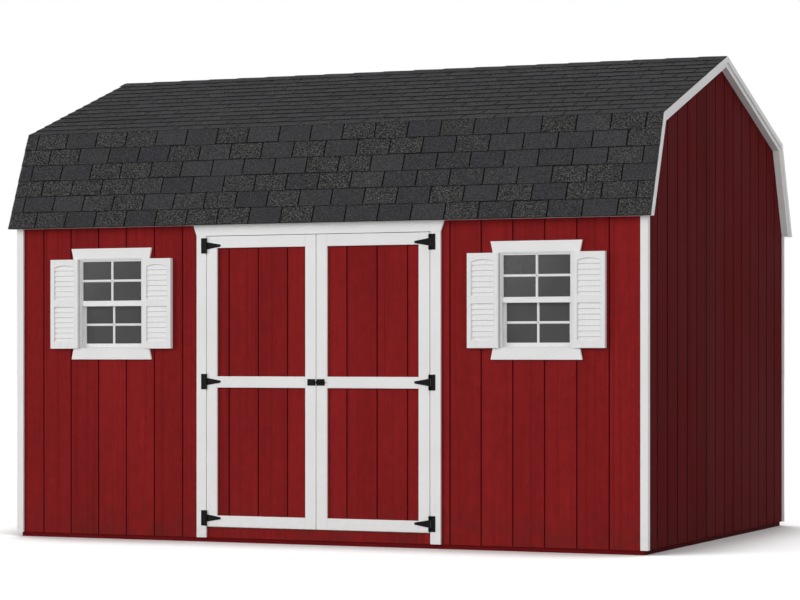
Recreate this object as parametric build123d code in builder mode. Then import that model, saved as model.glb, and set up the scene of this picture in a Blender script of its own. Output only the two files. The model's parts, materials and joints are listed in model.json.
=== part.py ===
from build123d import *
import os
from math import atan, cos, sin, tan

os.makedirs("parts", exist_ok=True)

# Barn shed, 14 ft by 10 ft, in millimetres
# Origin on the ground at the centre of the plan, +X along the front, the doors face -Y

# Whole shed, measured over the siding
shed_length = 4267.2
shed_depth = 3048.0
siding_thickness = 11.0
siding_bottom = 28.0
siding_top = 2120.0

# Floor
joist_height = 89.0
joist_thickness = 38.0
joist_count = 9
floor_deck_thickness = 16.0
deck_setback = 8.0

# Wall framing
stud_thickness = 38.0
stud_depth = 89.0
wall_height = 2040.0
back_stud_count = 8
side_stud_count = 5
header_height = 89.0

# Gambrel roof, heights and half spans of its outer surface
eave_overhang = 70.0
eave_height = 2009.0
knee_inset = 184.0
knee_height = 2631.0
ridge_height = 3098.0
shingle_thickness = 8.0
shingle_drip = 7.0
shingle_side_reach = 3.0
roof_deck_thickness = 11.0
panel_gap = 3.0
rafter_depth = 89.0
rafter_thickness = 38.0
rafter_gap = 2.0
truss_count = 8
gusset_thickness = 12.0
gusset_reach = 230.0
gusset_drop = 120.0
fly_rafter_thickness = 46.0
fly_rafter_depth = 52.0
rake_trim_thickness = 12.0
rake_trim_width = 35.0
rake_gap = 1.0
soffit_thickness = 10.0

# Trim boards
trim_thickness = 16.0
corner_board_width = 48.0
corner_return_width = 23.0
door_side_trim_width = 68.0
door_head_flare = 23.0

# Double door
doorway_width = 1530.0
leaf_bottom = 98.0
leaf_top = 1926.0
leaf_gap = 6.0
meeting_gap = 7.0
stile_width = 71.0
rail_width = 71.0
mid_rail_height = 1011.0
back_frame_thickness = 38.0
back_frame_width = 64.0
back_frame_inset = 7.0

# T-hinges
hinge_heights = (152.0, 1013.0, 1870.0)
hinge_plate_width = 37.0
hinge_plate_height = 97.0
hinge_metal = 3.0
strap_length = 100.0
strap_root_height = 47.0
strap_tip_height = 13.0
knuckle_radius = 6.0
pin_radius = 2.5
pin_clearance = 0.4
knuckle_gap = 0.6

# Sliding bolt on the meeting stiles
latch_plate_length = 54.0
latch_plate_height = 41.0
latch_metal = 3.0
bolt_radius = 4.0
bolt_length = 61.0
bolt_setback = 1.5
bolt_travel = 20.0
bolt_clearance = 0.4
guide_width = 6.0
guide_wall = 3.0
knob_length = 6.0
knob_reach = 12.0
knob_radius = 3.0
keeper_slot = 12.0
keeper_setback = 4.0
keeper_width = 10.0

# Windows
window_width = 470.0
window_height = 574.0
window_bottom = 1222.0
jamb_face = 15.4
frame_head_face = 6.0
frame_projection = 12.0
frame_depth = 66.0
sash_fit = 0.5
sash_depth = 22.0
sash_gap = 2.0
upper_sash_face = 6.0
upper_sash_top_rail = 9.0
lower_sash_face = 18.0
lower_sash_bottom_rail = 26.0
meeting_rail_bottom = 1494.0
meeting_rail_top = 1529.3
glass_thickness = 4.0
window_trim_height = 70.0
window_trim_overlap = 41.9
window_trim_flare = 15.0

# Shutters
shutter_width = 201.0
shutter_thickness = 32.0
shutter_gap = 2.6
shutter_stile = 27.0
shutter_bottom_rail = 46.0
shutter_mid_rail = 47.0
shutter_mid_rail_bottom = 269.0
shutter_top_rail = 38.0
shutter_recess = 11.0
shutter_arch_rise = 15.0
louver_pitch = 33.5
louver_rise = 8.0

# Values worked out from the sizes above
front = -shed_depth / 2
end = shed_length / 2
front_frame = front + siding_thickness
end_frame = end - siding_thickness
floor_top = joist_height + floor_deck_thickness
wall_top = floor_top + wall_height
plate_centre_y = front_frame + stud_depth / 2
plate_centre_x = end_frame - stud_depth / 2
trim_face = front - trim_thickness

eave_half = shed_depth / 2 + eave_overhang
knee_half = shed_depth / 2 - knee_inset
lower_pitch = atan((knee_height - eave_height) / (eave_half - knee_half))
upper_pitch = atan((ridge_height - knee_height) / knee_half)
roof_deck_base = shingle_thickness + roof_deck_thickness
rafter_base = roof_deck_base + rafter_depth
roof_half_length = end + fly_rafter_thickness
soffit_bottom = eave_height - soffit_thickness

door_head_bottom = leaf_top + leaf_gap
doorway_half = doorway_width / 2
window_offset = (doorway_half + end) / 2
leaf_outer = doorway_half - leaf_gap
leaf_inner = meeting_gap / 2
hinge_axis_x = doorway_half - leaf_gap / 2
hinge_axis_y = trim_face - knuckle_radius


def front_plane(y):
    """A plane parallel to the front wall, seen from outside."""
    return Plane.XZ.offset(-y)


def knee_point(depth):
    """Half span and height of the knee on a line this deep under the roof's outer surface."""
    slopes = tan(lower_pitch) - tan(upper_pitch)
    half = knee_half - depth * (1 / cos(lower_pitch) - 1 / cos(upper_pitch)) / slopes
    return half, upper_height(half, depth)


def upper_height(half, depth):
    """Height of the upper slope's line at a half span."""
    return ridge_height - half * tan(upper_pitch) - depth / cos(upper_pitch)


def lower_half(height, depth):
    """Half span of the lower slope's line at a height."""
    rise = knee_height - depth / cos(lower_pitch) - height
    return knee_half + rise / tan(lower_pitch)


def lower_band(side, top, base, foot, gap):
    """Outline of a layer of the lower slope, from its foot to the knee."""
    slide_half = gap / 2 * cos(lower_pitch)
    slide_up = gap / 2 * sin(lower_pitch)
    points = [
        (lower_half(foot, top), foot),
        (knee_point(top)[0] + slide_half, knee_point(top)[1] - slide_up),
        (knee_point(base)[0] + slide_half, knee_point(base)[1] - slide_up),
        (lower_half(foot, base), foot),
    ]
    return [(side * half, height) for half, height in points]


def upper_band(side, top, base, gap):
    """Outline of a layer of the upper slope, from the knee to the ridge."""
    slide_half = gap / 2 * cos(upper_pitch)
    slide_up = gap / 2 * sin(upper_pitch)
    points = [
        (knee_point(top)[0] - slide_half, knee_point(top)[1] + slide_up),
        (gap / 2, upper_height(gap / 2, top)),
        (gap / 2, upper_height(gap / 2, base)),
        (knee_point(base)[0] - slide_half, knee_point(base)[1] + slide_up),
    ]
    return [(side * half, height) for half, height in points]


def spread(count, reach):
    """Evenly spaced places from -reach to reach."""
    return [-reach + 2 * reach * place / (count - 1) for place in range(count)]


# Rim joists, the long boards of the floor frame
with BuildPart() as rim_joists:
    with Locations((0, front_frame + joist_thickness / 2), (0, -front_frame - joist_thickness / 2)):
        Box(2 * end_frame, joist_thickness, joist_height, align=(Align.CENTER, Align.CENTER, Align.MIN))
rim_joists.part.label = "rim_joists"
export_step(rim_joists.part, "parts/rim_joists.step")

# Floor joists between the rims
joist_length = 2 * (-front_frame - joist_thickness)
with BuildPart() as floor_joists:
    with Locations([(x, 0) for x in spread(joist_count, end_frame - joist_thickness / 2)]):
        Box(joist_thickness, joist_length, joist_height, align=(Align.CENTER, Align.CENTER, Align.MIN))
floor_joists.part.label = "floor_joists"
export_step(floor_joists.part, "parts/floor_joists.step")

# Floor deck, set back behind the door leaves
with BuildPart() as floor_deck:
    with BuildSketch(Plane.XY.offset(joist_height)):
        with Locations((0, deck_setback / 2)):
            Rectangle(2 * end_frame, -2 * front_frame - deck_setback)
    extrude(amount=floor_deck_thickness)
floor_deck.part.label = "floor_deck"
export_step(floor_deck.part, "parts/floor_deck.step")

# Top and bottom plates of the long walls; the bottom one stops at the doorway
top_plate_z = wall_top - stud_thickness / 2
bottom_plate_z = floor_top + stud_thickness / 2
plate_stub = end_frame - doorway_half
plate_front_y = front_frame + deck_setback
bottom_plate_depth = stud_depth - deck_setback
with BuildPart() as long_plates:
    with Locations((0, plate_centre_y, top_plate_z), (0, -plate_centre_y, top_plate_z)):
        Box(2 * end_frame, stud_depth, stud_thickness)
    with Locations((0, -plate_centre_y, bottom_plate_z)):
        Box(2 * end_frame, stud_depth, stud_thickness)
    stub_y = plate_front_y + bottom_plate_depth / 2
    stub_x = doorway_half + plate_stub / 2
    with Locations((stub_x, stub_y, bottom_plate_z), (-stub_x, stub_y, bottom_plate_z)):
        Box(plate_stub, bottom_plate_depth, stud_thickness)
long_plates.part.label = "long_plates"
export_step(long_plates.part, "parts/long_plates.step")

# Top and bottom plates of the gable walls, between the long walls
side_plate_length = 2 * (-front_frame - stud_depth)
with BuildPart() as side_plates:
    with Locations([(x, 0, z) for x in (-plate_centre_x, plate_centre_x) for z in (top_plate_z, bottom_plate_z)]):
        Box(stud_depth, side_plate_length, stud_thickness)
side_plates.part.label = "side_plates"
export_step(side_plates.part, "parts/side_plates.step")

# Studs of the long walls
stud_base = floor_top + stud_thickness
stud_length = wall_height - 2 * stud_thickness
window_stud = window_width / 2 + stud_thickness / 2
corner_stud = end_frame - stud_thickness / 2
trimmer_stud = doorway_half + stud_thickness / 2
front_studs = [corner_stud, trimmer_stud, window_offset - window_stud, window_offset + window_stud]
with BuildPart() as long_wall_studs:
    with Locations([(side * x, plate_centre_y, stud_base) for side in (-1, 1) for x in front_studs]):
        Box(stud_thickness, stud_depth, stud_length, align=(Align.CENTER, Align.CENTER, Align.MIN))
    with Locations([(x, -plate_centre_y, stud_base) for x in spread(back_stud_count, corner_stud)]):
        Box(stud_thickness, stud_depth, stud_length, align=(Align.CENTER, Align.CENTER, Align.MIN))
long_wall_studs.part.label = "long_wall_studs"
export_step(long_wall_studs.part, "parts/long_wall_studs.step")

# Studs of the gable walls
side_stud_reach = side_plate_length / 2 - stud_thickness / 2
side_studs = [(x, y) for x in (-plate_centre_x, plate_centre_x) for y in spread(side_stud_count, side_stud_reach)]
with BuildPart() as side_wall_studs:
    with Locations([(x, y, stud_base) for x, y in side_studs]):
        Box(stud_depth, stud_thickness, stud_length, align=(Align.CENTER, Align.CENTER, Align.MIN))
side_wall_studs.part.label = "side_wall_studs"
export_step(side_wall_studs.part, "parts/side_wall_studs.step")

# Header over the doorway, and the flat headers and sills round the window holes
window_top = window_bottom + window_height
with BuildPart() as wall_headers:
    with Locations((0, plate_centre_y, door_head_bottom)):
        Box(doorway_width, stud_depth, header_height, align=(Align.CENTER, Align.CENTER, Align.MIN))
    window_rails = [window_top + stud_thickness / 2, window_bottom - stud_thickness / 2]
    with Locations([(side * window_offset, plate_centre_y, z) for side in (-1, 1) for z in window_rails]):
        Box(window_width, stud_depth, stud_thickness)
wall_headers.part.label = "wall_headers"
export_step(wall_headers.part, "parts/wall_headers.step")

# Front siding beside the doorway, each sheet with its window cut through
panel_width = end - doorway_half
for side, name in ((-1, "front_siding_left"), (1, "front_siding_right")):
    with BuildPart() as front_siding:
        with BuildSketch(front_plane(front_frame)):
            with Locations((side * (doorway_half + panel_width / 2), siding_bottom)):
                Rectangle(panel_width, siding_top - siding_bottom, align=(Align.CENTER, Align.MIN))
            with Locations((side * window_offset, window_bottom)):
                Rectangle(window_width, window_height, align=(Align.CENTER, Align.MIN), mode=Mode.SUBTRACT)
        extrude(amount=siding_thickness)
    front_siding.part.label = name
    export_step(front_siding.part, f"parts/{name}.step")

# Siding strips below and above the doors
strip_top = leaf_bottom - leaf_gap
with BuildPart() as door_siding_strips:
    with BuildSketch(front_plane(front_frame)):
        with Locations((0, siding_bottom)):
            Rectangle(doorway_width, strip_top - siding_bottom, align=(Align.CENTER, Align.MIN))
        with Locations((0, door_head_bottom)):
            Rectangle(doorway_width, siding_top - door_head_bottom, align=(Align.CENTER, Align.MIN))
    extrude(amount=siding_thickness)
door_siding_strips.part.label = "door_siding_strips"
export_step(door_siding_strips.part, "parts/door_siding_strips.step")

# Back siding
with BuildPart() as back_siding:
    with BuildSketch(front_plane(-front)):
        with Locations((0, siding_bottom)):
            Rectangle(shed_length, siding_top - siding_bottom, align=(Align.CENTER, Align.MIN))
    extrude(amount=siding_thickness)
back_siding.part.label = "back_siding"
export_step(back_siding.part, "parts/back_siding.step")

# Gable siding, up to the underside of the roof deck
gable_half = -front_frame
gable_shoulder = knee_height - roof_deck_base / cos(lower_pitch) - (gable_half - knee_half) * tan(lower_pitch)
gable_side = [(gable_half, siding_bottom), (gable_half, gable_shoulder), knee_point(roof_deck_base)]
gable_peak = (0, upper_height(0, roof_deck_base))
gable_outline = gable_side + [gable_peak] + [(-y, z) for y, z in reversed(gable_side)]
for start, name in ((-end, "left_siding"), (end_frame, "right_siding")):
    with BuildPart() as gable_siding:
        with BuildSketch(Plane.YZ.offset(start)):
            Polygon(*gable_outline, align=None)
        extrude(amount=siding_thickness)
    gable_siding.part.label = name
    export_step(gable_siding.part, f"parts/{name}.step")

# Corner boards on the long walls
corner_outer = end + trim_thickness
corner_board_height = soffit_bottom - siding_bottom
corner_x = corner_outer - corner_board_width / 2
with BuildPart() as corner_boards:
    corner_y = front - trim_thickness / 2
    with Locations([(x, y, siding_bottom) for x in (-corner_x, corner_x) for y in (-corner_y, corner_y)]):
        Box(corner_board_width, trim_thickness, corner_board_height, align=(Align.CENTER, Align.CENTER, Align.MIN))
corner_boards.part.label = "corner_boards"
export_step(corner_boards.part, "parts/corner_boards.step")

# Narrow boards on the gable walls, butted to the front corner boards
return_x = end + trim_thickness / 2
return_y = front + corner_return_width / 2
with BuildPart() as corner_returns:
    with Locations((-return_x, return_y, siding_bottom), (return_x, return_y, siding_bottom)):
        Box(trim_thickness, corner_return_width, corner_board_height, align=(Align.CENTER, Align.CENTER, Align.MIN))
corner_returns.part.label = "corner_returns"
export_step(corner_returns.part, "parts/corner_returns.step")

# Trim beside the doors
door_trim_x = doorway_half + door_side_trim_width / 2
with BuildPart() as door_side_trim:
    with BuildSketch(front_plane(front)):
        with Locations((-door_trim_x, siding_bottom), (door_trim_x, siding_bottom)):
            Rectangle(door_side_trim_width, door_head_bottom - siding_bottom, align=(Align.CENTER, Align.MIN))
    extrude(amount=trim_thickness)
door_side_trim.part.label = "door_side_trim"
export_step(door_side_trim.part, "parts/door_side_trim.step")

# Head trim over the doors, its ends flared outwards
head_half = doorway_half + door_side_trim_width
head_top_half = head_half + door_head_flare
with BuildPart() as door_head_trim:
    with BuildSketch(front_plane(front)):
        Polygon(
            (-head_half, door_head_bottom),
            (head_half, door_head_bottom),
            (head_top_half, soffit_bottom),
            (-head_top_half, soffit_bottom),
            align=None,
        )
    extrude(amount=trim_thickness)
door_head_trim.part.label = "door_head_trim"
export_step(door_head_trim.part, "parts/door_head_trim.step")

# Window frames, rings set through the siding
frame_front = front - frame_projection
frame_back = frame_front + frame_depth
window_middle = window_bottom + window_height / 2
window_places = [(-window_offset, window_middle), (window_offset, window_middle)]
frame_inner_width = window_width - 2 * jamb_face
frame_inner_height = window_height - 2 * frame_head_face
with BuildPart() as window_frames:
    with BuildSketch(front_plane(frame_back)):
        with Locations(window_places):
            Rectangle(window_width, window_height)
            Rectangle(frame_inner_width, frame_inner_height, mode=Mode.SUBTRACT)
    extrude(amount=frame_depth)
window_frames.part.label = "window_frames"
export_step(window_frames.part, "parts/window_frames.step")

# Sashes: the upper one outside, the lower one behind it
sash_width = frame_inner_width - 2 * sash_fit
sash_top = window_top - frame_head_face - sash_fit
sash_bottom = window_bottom + frame_head_face + sash_fit
upper_glass_width = sash_width - 2 * upper_sash_face
lower_glass_width = sash_width - 2 * lower_sash_face
upper_glass_top = sash_top - upper_sash_top_rail
lower_glass_bottom = sash_bottom + lower_sash_bottom_rail
upper_sash_back = front + sash_depth - frame_projection / 2
lower_sash_back = upper_sash_back + sash_gap + sash_depth
window_sides = (-window_offset, window_offset)
with BuildPart() as window_sashes:
    with BuildSketch(front_plane(upper_sash_back)):
        with Locations([(x, meeting_rail_bottom) for x in window_sides]):
            Rectangle(sash_width, sash_top - meeting_rail_bottom, align=(Align.CENTER, Align.MIN))
        with Locations([(x, meeting_rail_top) for x in window_sides]):
            Rectangle(
                upper_glass_width,
                upper_glass_top - meeting_rail_top,
                align=(Align.CENTER, Align.MIN),
                mode=Mode.SUBTRACT,
            )
    extrude(amount=sash_depth)
    with BuildSketch(front_plane(lower_sash_back)):
        with Locations([(x, sash_bottom) for x in window_sides]):
            Rectangle(sash_width, meeting_rail_top - sash_bottom, align=(Align.CENTER, Align.MIN))
        with Locations([(x, lower_glass_bottom) for x in window_sides]):
            Rectangle(
                lower_glass_width,
                meeting_rail_bottom - lower_glass_bottom,
                align=(Align.CENTER, Align.MIN),
                mode=Mode.SUBTRACT,
            )
    extrude(amount=sash_depth)
window_sashes.part.label = "window_sashes"
export_step(window_sashes.part, "parts/window_sashes.step")

# Glass sheets, one in each sash
upper_glass_back = upper_sash_back - (sash_depth - glass_thickness) / 2
lower_glass_back = lower_sash_back - (sash_depth - glass_thickness) / 2
with BuildPart() as window_glass:
    with BuildSketch(front_plane(upper_glass_back)):
        with Locations([(x, meeting_rail_top) for x in window_sides]):
            Rectangle(upper_glass_width, upper_glass_top - meeting_rail_top, align=(Align.CENTER, Align.MIN))
    extrude(amount=glass_thickness)
    with BuildSketch(front_plane(lower_glass_back)):
        with Locations([(x, lower_glass_bottom) for x in window_sides]):
            Rectangle(lower_glass_width, meeting_rail_bottom - lower_glass_bottom, align=(Align.CENTER, Align.MIN))
    extrude(amount=glass_thickness)
window_glass.part.label = "window_glass"
export_step(window_glass.part, "parts/window_glass.step")

# Head and sill trim of the windows, flared away from the glass
trim_half = window_width / 2 + window_trim_overlap
trim_far_half = trim_half + window_trim_flare
with BuildPart() as window_trim:
    with BuildSketch(front_plane(front)):
        for x in window_sides:
            for near, far in (
                (window_top, window_top + window_trim_height),
                (window_bottom, window_bottom - window_trim_height),
            ):
                Polygon(
                    (x - trim_half, near),
                    (x + trim_half, near),
                    (x + trim_far_half, far),
                    (x - trim_far_half, far),
                    align=None,
                )
    extrude(amount=trim_thickness)
window_trim.part.label = "window_trim"
export_step(window_trim.part, "parts/window_trim.step")

# Louvred shutters as tall as the windows, each one moulded piece with an arched upper field
shutter_height = window_height
shutter_offset = window_width / 2 + shutter_gap + shutter_width / 2
shutter_front = front - shutter_thickness
field_width = shutter_width - 2 * shutter_stile
field_bottom = window_bottom + shutter_bottom_rail
lower_field_top = window_bottom + shutter_mid_rail_bottom
upper_field_bottom = lower_field_top + shutter_mid_rail
field_top = window_bottom + shutter_height - shutter_top_rail


def louver_comb(bottom, top):
    """Side outline of a louvred recess: slats that lean out towards their feet, a part slat lowest."""
    deep = shutter_front + shutter_recess
    full = int((top - bottom) / louver_pitch)
    rest = top - bottom - full * louver_pitch
    points = [(shutter_front - 1, bottom), (deep - louver_rise * rest / louver_pitch, bottom)]
    for slat in range(full):
        foot = bottom + rest + slat * louver_pitch
        points.append((deep, foot))
        points.append((deep - louver_rise, foot))
    points.append((deep, top))
    points.append((shutter_front - 1, top))
    return points


with BuildPart() as lower_field:
    with BuildSketch(Plane.YZ.offset(-field_width / 2)):
        Polygon(*louver_comb(field_bottom, lower_field_top), align=None)
    extrude(amount=field_width)

spring_height = field_top - shutter_arch_rise
with BuildPart() as upper_field:
    with BuildSketch(Plane.YZ.offset(-field_width / 2)):
        Polygon(*louver_comb(upper_field_bottom, field_top), align=None)
    extrude(amount=field_width)
    with BuildSketch(front_plane(front)):
        with BuildLine():
            Polyline(
                (field_width / 2, spring_height),
                (field_width / 2, upper_field_bottom),
                (-field_width / 2, upper_field_bottom),
                (-field_width / 2, spring_height),
            )
            ThreePointArc((-field_width / 2, spring_height), (0, field_top), (field_width / 2, spring_height))
        make_face()
    extrude(amount=2 * shutter_thickness, mode=Mode.INTERSECT)

shutter_places = [x + side * shutter_offset for x in window_sides for side in (-1, 1)]
with BuildPart() as shutters:
    with BuildSketch(front_plane(front)):
        with Locations([(x, window_bottom) for x in shutter_places]):
            Rectangle(shutter_width, shutter_height, align=(Align.CENTER, Align.MIN))
    extrude(amount=shutter_thickness)
    with Locations([(x, 0, 0) for x in shutter_places]):
        add(lower_field.part, mode=Mode.SUBTRACT)
        add(upper_field.part, mode=Mode.SUBTRACT)
shutters.part.label = "shutters"
export_step(shutters.part, "parts/shutters.step")

# Lower rafters, their feet cut level on the plates
truss_places = spread(truss_count, end_frame - rafter_thickness / 2)
with BuildPart() as lower_rafters:
    for x in truss_places:
        for side in (-1, 1):
            with BuildSketch(Plane.YZ.offset(x - rafter_thickness / 2)):
                Polygon(*lower_band(side, roof_deck_base, rafter_base, wall_top, rafter_gap), align=None)
            extrude(amount=rafter_thickness)
lower_rafters.part.label = "lower_rafters"
export_step(lower_rafters.part, "parts/lower_rafters.step")

# Upper rafters, from knee to ridge
with BuildPart() as upper_rafters:
    for x in truss_places:
        for side in (-1, 1):
            with BuildSketch(Plane.YZ.offset(x - rafter_thickness / 2)):
                Polygon(*upper_band(side, roof_deck_base, rafter_base, rafter_gap), align=None)
            extrude(amount=rafter_thickness)
upper_rafters.part.label = "upper_rafters"
export_step(upper_rafters.part, "parts/upper_rafters.step")

# Plywood gussets at the knees and ridge, on both faces of the inner trusses
knee_top = knee_point(roof_deck_base)
knee_gusset = [
    knee_top,
    (knee_top[0] - gusset_reach * cos(upper_pitch), knee_top[1] + gusset_reach * sin(upper_pitch)),
    (knee_top[0] - gusset_reach * cos(upper_pitch), knee_top[1] + gusset_reach * sin(upper_pitch) - gusset_drop),
    (knee_top[0] + gusset_reach * cos(lower_pitch) - gusset_drop, knee_top[1] - gusset_reach * sin(lower_pitch)),
    (knee_top[0] + gusset_reach * cos(lower_pitch), knee_top[1] - gusset_reach * sin(lower_pitch)),
]
ridge_foot = upper_height(gusset_reach, roof_deck_base)
ridge_gusset = [
    (0, upper_height(0, roof_deck_base)),
    (gusset_reach, ridge_foot),
    (gusset_reach, ridge_foot - gusset_drop / 2),
    (-gusset_reach, ridge_foot - gusset_drop / 2),
    (-gusset_reach, ridge_foot),
]
left_faces = [x - rafter_thickness / 2 - gusset_thickness for x in truss_places[1:]]
right_faces = [x + rafter_thickness / 2 for x in truss_places[:-1]]
with BuildPart() as gussets:
    for start in left_faces + right_faces:
        with BuildSketch(Plane.YZ.offset(start)):
            Polygon(*knee_gusset, align=None)
            Polygon(*[(-y, z) for y, z in knee_gusset], align=None)
            Polygon(*ridge_gusset, align=None)
        extrude(amount=gusset_thickness)
gussets.part.label = "gussets"
export_step(gussets.part, "parts/gussets.step")

# Roof deck, four sheets with a small gap at knees and ridge
with BuildPart() as roof_deck:
    with BuildSketch(Plane.YZ.offset(-roof_half_length)):
        for side in (-1, 1):
            Polygon(*lower_band(side, shingle_thickness, roof_deck_base, eave_height, panel_gap), align=None)
            Polygon(*upper_band(side, shingle_thickness, roof_deck_base, panel_gap), align=None)
    extrude(amount=2 * roof_half_length)
roof_deck.part.label = "roof_deck"
export_step(roof_deck.part, "parts/roof_deck.step")

# Shingle layers on the front and back slopes, reaching a little past the deck's edges
shingle_foot = eave_height - shingle_drip
shingle_half_length = roof_half_length + shingle_side_reach
for side, name in ((-1, "shingles_front"), (1, "shingles_back")):
    with BuildPart() as shingles:
        with BuildSketch(Plane.YZ.offset(-shingle_half_length)):
            Polygon(*lower_band(side, 0, shingle_thickness, shingle_foot, rake_gap), align=None)
            Polygon(*upper_band(side, 0, shingle_thickness, rake_gap), align=None)
        extrude(amount=2 * shingle_half_length)
    shingles.part.label = name
    export_step(shingles.part, f"parts/{name}.step")

# Fly rafters against the gables, under the ends of the roof deck
fly_rafter_base = roof_deck_base + fly_rafter_depth
with BuildPart() as fly_rafters:
    for start in (-roof_half_length, end):
        with BuildSketch(Plane.YZ.offset(start)):
            for side in (-1, 1):
                Polygon(*lower_band(side, roof_deck_base, fly_rafter_base, eave_height, rake_gap), align=None)
                Polygon(*upper_band(side, roof_deck_base, fly_rafter_base, rake_gap), align=None)
        extrude(amount=fly_rafter_thickness)
fly_rafters.part.label = "fly_rafters"
export_step(fly_rafters.part, "parts/fly_rafters.step")

# Rake trim over the ends of the deck, its top edge under the shingles
rake_trim_base = shingle_thickness + rake_trim_width
with BuildPart() as rake_trim:
    for start in (-roof_half_length - rake_trim_thickness, roof_half_length):
        with BuildSketch(Plane.YZ.offset(start)):
            for side in (-1, 1):
                Polygon(*lower_band(side, shingle_thickness, rake_trim_base, soffit_bottom, rake_gap), align=None)
                Polygon(*upper_band(side, shingle_thickness, rake_trim_base, rake_gap), align=None)
        extrude(amount=rake_trim_thickness)
rake_trim.part.label = "rake_trim"
export_step(rake_trim.part, "parts/rake_trim.step")

# Eave soffits, level boards from the siding out to the back of the shingles
soffit_width = lower_half(eave_height, shingle_thickness) - shed_depth / 2
with BuildPart() as eave_soffits:
    with BuildSketch(Plane.XY.offset(soffit_bottom)):
        soffit_y = (shed_depth + soffit_width) / 2
        with Locations((0, -soffit_y), (0, soffit_y)):
            Rectangle(2 * roof_half_length, soffit_width)
    extrude(amount=soffit_thickness)
eave_soffits.part.label = "eave_soffits"
export_step(eave_soffits.part, "parts/eave_soffits.step")

# Door leaves: panel, stiles and rails, outside and inside
leaf_width = leaf_outer - leaf_inner
leaf_height = leaf_top - leaf_bottom
leaf_middle = (leaf_outer + leaf_inner) / 2
back_bottom = floor_top + leaf_gap
back_stile_outer = leaf_outer - back_frame_width / 2
back_stile_inner = leaf_inner + back_frame_inset + back_frame_width / 2
back_rail_width = back_stile_outer - back_stile_inner - back_frame_width
back_rail_x = (back_stile_outer + back_stile_inner) / 2
rail_length = leaf_width - 2 * stile_width
rail_heights = (leaf_bottom + rail_width / 2, mid_rail_height, leaf_top - rail_width / 2)
back_rail_heights = (back_bottom + back_frame_width / 2, mid_rail_height, leaf_top - back_frame_width / 2)
for side, name in ((-1, "door_left"), (1, "door_right")):
    with BuildPart() as leaf_panel:
        with BuildSketch(front_plane(front_frame)):
            with Locations((side * leaf_middle, leaf_bottom)):
                Rectangle(leaf_width, leaf_height, align=(Align.CENTER, Align.MIN))
        extrude(amount=siding_thickness)
    leaf_panel.part.label = f"{name}_panel"
    export_step(leaf_panel.part, f"parts/{name}_panel.step")

    with BuildPart() as leaf_stiles:
        with BuildSketch(front_plane(front)):
            for x in (leaf_inner + stile_width / 2, leaf_outer - stile_width / 2):
                with Locations((side * x, leaf_bottom)):
                    Rectangle(stile_width, leaf_height, align=(Align.CENTER, Align.MIN))
        extrude(amount=trim_thickness)
        with BuildSketch(front_plane(front_frame + back_frame_thickness)):
            for x in (back_stile_inner, back_stile_outer):
                with Locations((side * x, back_bottom)):
                    Rectangle(back_frame_width, leaf_top - back_bottom, align=(Align.CENTER, Align.MIN))
        extrude(amount=back_frame_thickness)
    leaf_stiles.part.label = f"{name}_stiles"
    export_step(leaf_stiles.part, f"parts/{name}_stiles.step")

    with BuildPart() as leaf_rails:
        with BuildSketch(front_plane(front)):
            with Locations([(side * leaf_middle, z) for z in rail_heights]):
                Rectangle(rail_length, rail_width)
        extrude(amount=trim_thickness)
        with BuildSketch(front_plane(front_frame + back_frame_thickness)):
            with Locations([(side * back_rail_x, z) for z in back_rail_heights]):
                Rectangle(back_rail_width, back_frame_width)
        extrude(amount=back_frame_thickness)
    leaf_rails.part.label = f"{name}_rails"
    export_step(leaf_rails.part, f"parts/{name}_rails.step")

    # Tapered straps, each with the middle knuckle round the pin
    strap_knuckle = strap_root_height / 2
    with BuildPart() as leaf_straps:
        with BuildSketch(front_plane(trim_face)):
            for z in hinge_heights:
                Polygon(
                    (side * hinge_axis_x, z - strap_knuckle),
                    (side * hinge_axis_x, z + strap_knuckle),
                    (side * (hinge_axis_x - strap_length), z + strap_tip_height / 2),
                    (side * (hinge_axis_x - strap_length), z - strap_tip_height / 2),
                    align=None,
                )
        extrude(amount=hinge_metal)
        with Locations([(side * hinge_axis_x, hinge_axis_y, z) for z in hinge_heights]):
            Cylinder(knuckle_radius, strap_root_height)
            Cylinder(pin_radius + pin_clearance, strap_root_height, mode=Mode.SUBTRACT)
    leaf_straps.part.label = f"{name}_straps"
    export_step(leaf_straps.part, f"parts/{name}_straps.step")

# Hinge plates on the side trim, each with its outer knuckles and pin
knuckle_length = (hinge_plate_height - strap_root_height) / 2 - knuckle_gap
knuckle_offset = hinge_plate_height / 2 - knuckle_length / 2
hinge_places = [(side, z) for side in (-1, 1) for z in hinge_heights]
with BuildPart() as hinge_plates:
    with BuildSketch(front_plane(trim_face)):
        for side, z in hinge_places:
            with Locations((side * (hinge_axis_x + hinge_plate_width / 2), z)):
                Rectangle(hinge_plate_width, hinge_plate_height)
    extrude(amount=hinge_metal)
    for side, z in hinge_places:
        with Locations((side * hinge_axis_x, hinge_axis_y, z)):
            Box(
                2 * (knuckle_radius + 1),
                2 * (knuckle_radius + 1),
                strap_root_height + 2 * knuckle_gap,
                mode=Mode.SUBTRACT,
            )
            Cylinder(pin_radius, hinge_plate_height)
        with Locations([(side * hinge_axis_x, hinge_axis_y, z + up * knuckle_offset) for up in (-1, 1)]):
            Cylinder(knuckle_radius, knuckle_length)
hinge_plates.part.label = "hinge_plates"
export_step(hinge_plates.part, "parts/hinge_plates.step")

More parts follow.
